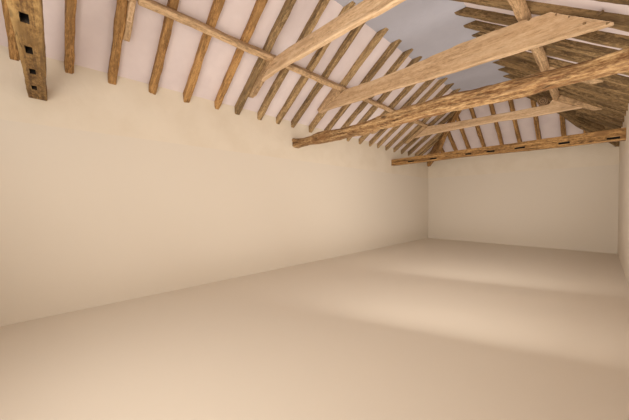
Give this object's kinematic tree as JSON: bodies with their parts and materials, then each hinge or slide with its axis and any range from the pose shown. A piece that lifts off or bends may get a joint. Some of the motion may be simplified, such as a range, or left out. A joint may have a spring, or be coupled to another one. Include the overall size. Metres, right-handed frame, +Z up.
{
  "type": "exposed oak granary roof",
  "caption": "Hipped oak roof of a granary on its wall heads: rafters over purlins, cambered collars, old tie beams, plaster lining between the rafters and a flat ceiling strip.",
  "frame": {"origin": "centre of the footprint at the undersides of the wall heads", "axes": "+Y along the room toward the hip end, +X to the right across the room, +Z up"},
  "size_m": [5.52, 11.655, 2.5147],
  "materials": {
    "masonry": "matte painted plaster over masonry",
    "plaster": "matte white plaster",
    "cleaned_oak": "cleaned oak",
    "dark_oak": "rough dark oak",
    "honey_oak": "old honey oak",
    "rafter_oak": "aged oak",
    "purlin_oak": "aged oak",
    "sawn_oak": "sawn oak"
  },
  "bodies": {
    "root": {"collar_1": "cleaned_oak", "collar_2": "cleaned_oak", "collar_3": "cleaned_oak", "collar_4": "cleaned_oak", "collar_5": "cleaned_oak", "collar_6": "cleaned_oak", "eaves_plaster_end": "plaster", "eaves_plaster_left": "plaster", "eaves_plaster_right": "plaster", "flat_ceiling": "plaster", "hip_end_rafters": "rafter_oak", "hip_rafter_left": "rafter_oak", "hip_rafter_right": "rafter_oak", "jack_rafters_left": "rafter_oak", "jack_rafters_right": "rafter_oak", "lining_end": "plaster", "lining_left": "plaster", "lining_right": "plaster", "principals_left": "rafter_oak", "principals_right": "rafter_oak", "purlins_left": "purlin_oak", "purlins_right": "purlin_oak", "rafters_left_bay_1": "rafter_oak", "rafters_left_bay_2": "rafter_oak", "rafters_left_bay_3": "rafter_oak", "rafters_left_bay_4": "rafter_oak", "rafters_left_bay_5": "rafter_oak", "rafters_right_bay_1": "rafter_oak", "rafters_right_bay_2": "rafter_oak", "rafters_right_bay_3": "rafter_oak", "rafters_right_bay_4": "rafter_oak", "rafters_right_bay_5": "rafter_oak", "ridge_board": "sawn_oak", "round_stub": "dark_oak", "tie_beam_end": "honey_oak", "tie_beam_middle": "dark_oak", "tie_beam_near": "dark_oak", "wall_head_end": "masonry", "wall_head_left": "masonry", "wall_head_right": "masonry", "wall_plate_end": "sawn_oak", "wall_plate_left": "sawn_oak", "wall_plate_right": "sawn_oak"}
  },
  "joints": []
}
